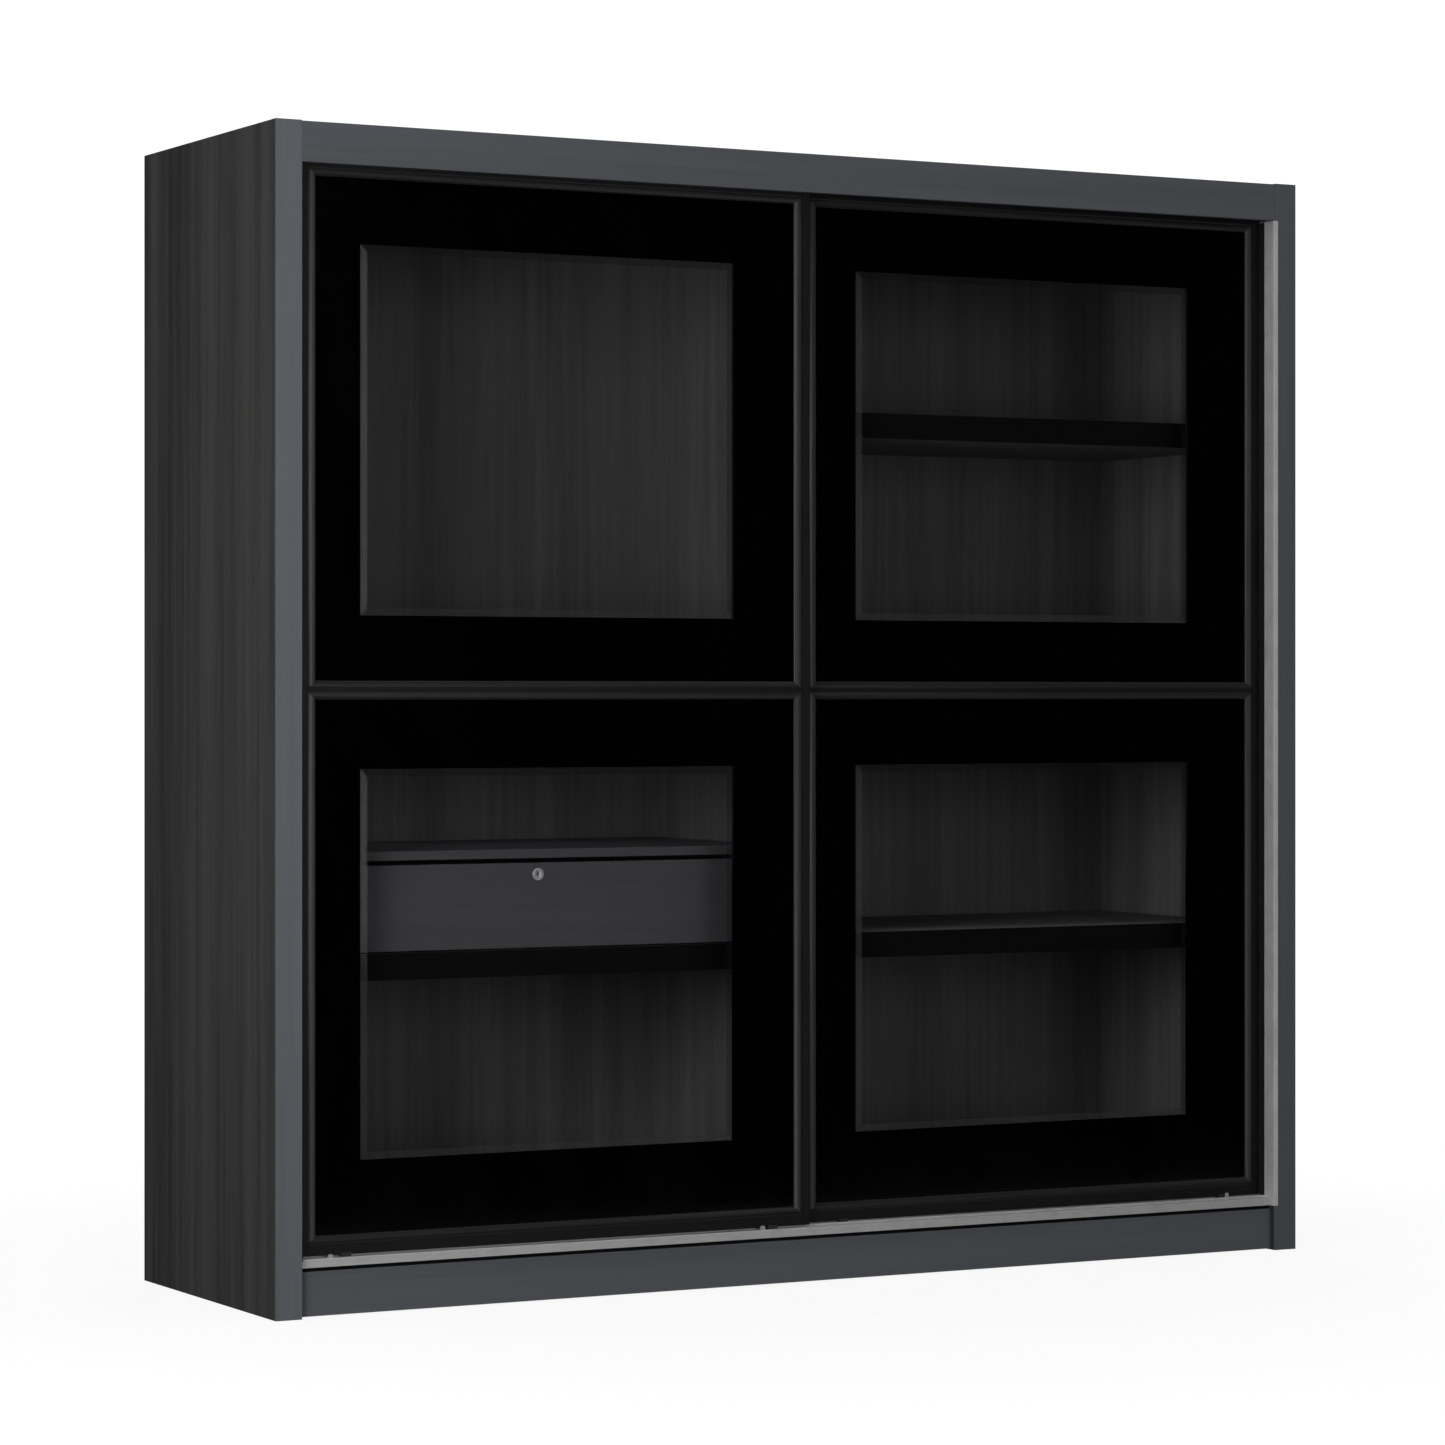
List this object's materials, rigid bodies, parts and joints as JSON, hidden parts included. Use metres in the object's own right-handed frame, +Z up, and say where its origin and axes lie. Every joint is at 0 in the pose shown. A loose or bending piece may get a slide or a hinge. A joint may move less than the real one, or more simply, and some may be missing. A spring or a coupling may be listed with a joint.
{
  "type": "sliding door wardrobe",
  "caption": "Low wide wardrobe with glazed sliding doors on parallel tracks, a hanging bay, deep shelves and a shallow locking drawer.",
  "frame": {"origin": "middle of the footprint on the floor", "axes": "+Z up, front facing -Y, +X to the right seen from the front"},
  "size_m": [2.07, 0.6, 2],
  "materials": {
    "side_laminate": "matt charcoal wood grain laminate",
    "front_laminate": "matt blue grey laminate with faint grain",
    "inner_laminate": "matt dark grey wood grain laminate",
    "shelf_laminate": "matt near black laminate",
    "drawer_laminate": "matt dark grey laminate",
    "door_profile": "satin anthracite coated aluminium",
    "black_glass": "black back-lacquered glass",
    "window_glass": "clear tinted glass",
    "track_aluminium": "anodised extrusion",
    "guide_plastic": "light grey moulded plastic",
    "roller_plastic": "off-white acetal",
    "rail_chrome": "polished tube",
    "lock_chrome": "polished lock barrel"
  },
  "bodies": {
    "carcass": {"left_side_panel": "side_laminate", "right_side_panel": "side_laminate", "top_panel": "side_laminate", "top_fascia": "front_laminate", "bottom_panel": "inner_laminate", "plinth_front": "front_laminate", "plinth_rear": "inner_laminate", "back_panel_left": "inner_laminate", "back_panel_right": "inner_laminate", "centre_divider": "inner_laminate", "right_lower_shelf": "shelf_laminate", "right_middle_shelf": "shelf_laminate", "right_upper_shelf": "shelf_laminate", "left_lower_shelf": "shelf_laminate", "drawer_top_board": "drawer_laminate", "hanging_rail": "rail_chrome", "rail_socket_left": "rail_chrome", "rail_socket_right": "rail_chrome", "bottom_track": "track_aluminium", "top_track": "track_aluminium", "left_jamb_strip": "track_aluminium", "right_jamb_strip": "track_aluminium", "drawer_runner_left": "guide_plastic", "drawer_runner_right": "guide_plastic"},
    "left_door": {"left_door_stile_left": "door_profile", "left_door_stile_right": "door_profile", "left_door_bottom_rail": "door_profile", "left_door_mid_rail": "door_profile", "left_door_top_rail": "door_profile", "left_door_lower_border": "black_glass", "left_door_lower_window": "window_glass", "left_door_upper_border": "black_glass", "left_door_upper_window": "window_glass", "left_door_carriage_left": "guide_plastic", "left_door_carriage_right": "guide_plastic", "left_door_top_guide_left": "guide_plastic", "left_door_top_guide_right": "guide_plastic"},
    "left_door_roller_left": {"left_door_roller_left": "roller_plastic"},
    "left_door_roller_right": {"left_door_roller_right": "roller_plastic"},
    "right_door": {"right_door_stile_left": "door_profile", "right_door_stile_right": "door_profile", "right_door_bottom_rail": "door_profile", "right_door_mid_rail": "door_profile", "right_door_top_rail": "door_profile", "right_door_lower_border": "black_glass", "right_door_lower_window": "window_glass", "right_door_upper_border": "black_glass", "right_door_upper_window": "window_glass", "right_door_carriage_left": "guide_plastic", "right_door_carriage_right": "guide_plastic", "right_door_top_guide_left": "guide_plastic", "right_door_top_guide_right": "guide_plastic"},
    "right_door_roller_left": {"right_door_roller_left": "roller_plastic"},
    "right_door_roller_right": {"right_door_roller_right": "roller_plastic"},
    "drawer": {"drawer_front": "drawer_laminate", "drawer_side_left": "drawer_laminate", "drawer_side_right": "drawer_laminate", "drawer_back": "drawer_laminate", "drawer_bottom": "inner_laminate"},
    "lock": {"lock_cylinder": "lock_chrome"}
  },
  "joints": [
    {"name": "left_door_slide", "type": "slide", "parent": "carcass", "child": "left_door", "axis": [1, 0, 0], "range_m": [0, 0.978]},
    {"name": "right_door_slide", "type": "slide", "parent": "carcass", "child": "right_door", "axis": [1, 0, 0], "range_m": [-0.978, 0]},
    {"name": "left_door_roller_left_spin", "type": "hinge", "parent": "left_door", "child": "left_door_roller_left", "pos_m": [-0.8995, -0.269, 0.1122], "axis": [0, 1, 0], "continuous": true},
    {"name": "left_door_roller_right_spin", "type": "hinge", "parent": "left_door", "child": "left_door_roller_right", "pos_m": [-0.0795, -0.269, 0.1122], "axis": [0, 1, 0], "continuous": true},
    {"name": "right_door_roller_left_spin", "type": "hinge", "parent": "right_door", "child": "right_door_roller_left", "pos_m": [0.0795, -0.243, 0.1122], "axis": [0, 1, 0], "continuous": true},
    {"name": "right_door_roller_right_spin", "type": "hinge", "parent": "right_door", "child": "right_door_roller_right", "pos_m": [0.8995, -0.243, 0.1122], "axis": [0, 1, 0], "continuous": true},
    {"name": "drawer_slide", "type": "slide", "parent": "carcass", "child": "drawer", "axis": [0, -1, 0], "range_m": [0, 0.026]},
    {"name": "lock_turn", "type": "hinge", "parent": "drawer", "child": "lock", "pos_m": [-0.501, -0.19, 0.73], "axis": [0, -1, 0], "range_deg": [0, 90]}
  ],
  "couplings": [
    {"joint": "left_door_roller_left_spin", "follows": "left_door_slide", "rad_per_m": 90.909},
    {"joint": "left_door_roller_right_spin", "follows": "left_door_slide", "rad_per_m": 90.909},
    {"joint": "right_door_roller_left_spin", "follows": "right_door_slide", "rad_per_m": 90.909},
    {"joint": "right_door_roller_right_spin", "follows": "right_door_slide", "rad_per_m": 90.909}
  ]
}
